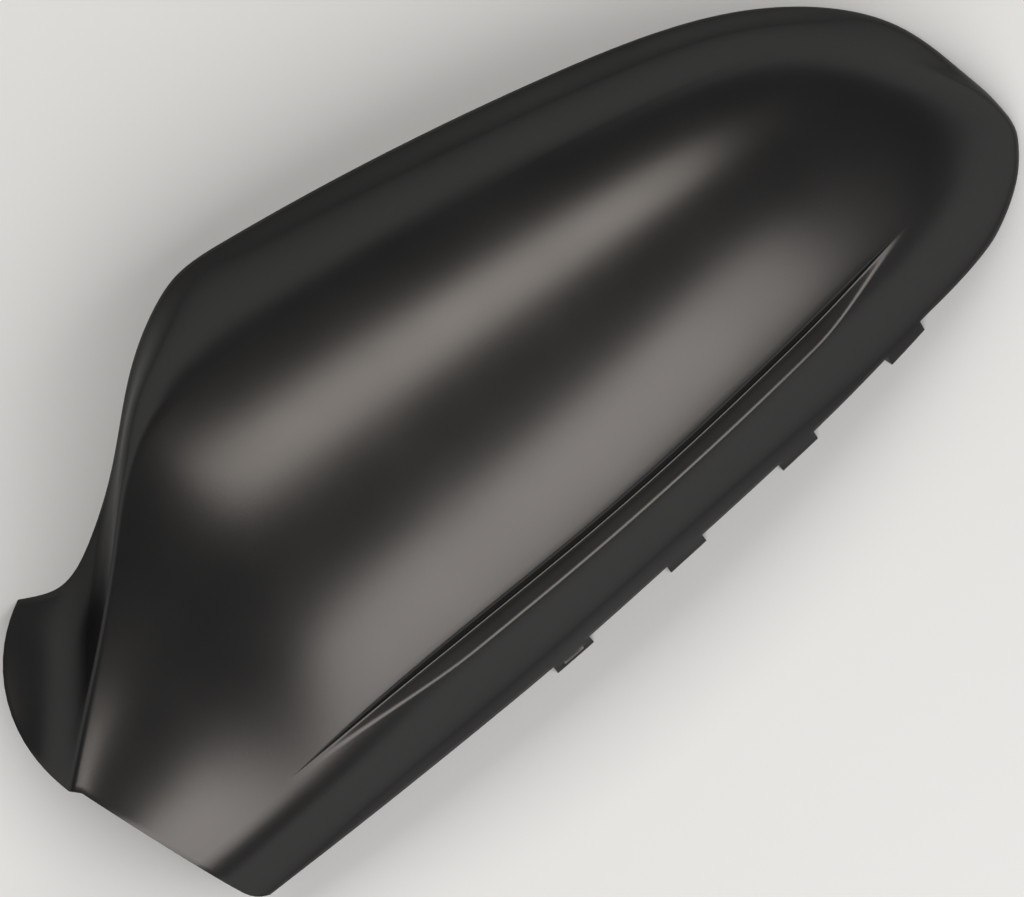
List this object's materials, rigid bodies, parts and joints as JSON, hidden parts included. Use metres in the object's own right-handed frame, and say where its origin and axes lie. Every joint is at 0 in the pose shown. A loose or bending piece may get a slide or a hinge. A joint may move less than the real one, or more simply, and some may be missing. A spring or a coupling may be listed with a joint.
{
  "type": "door mirror cover",
  "caption": "Thin domed shell that snaps over a car's door-mirror housing, with a blunt outer tip, a crease and round lip at the inner end, a stepped lower flange and clip tongues.",
  "frame": {"origin": "on the rim plane, below the middle of the shell's bounding box", "axes": "+X from the inner end to the outer tip, +Y up the mirror's front face, +Z from the rim plane out to the crown"},
  "size_m": [0.2396, 0.1138, 0.055],
  "materials": {
    "satin_black_plastic": "satin black moulded plastic with a fine even grain"
  },
  "bodies": {
    "root": {"mirror_cover": "satin_black_plastic"}
  },
  "joints": []
}
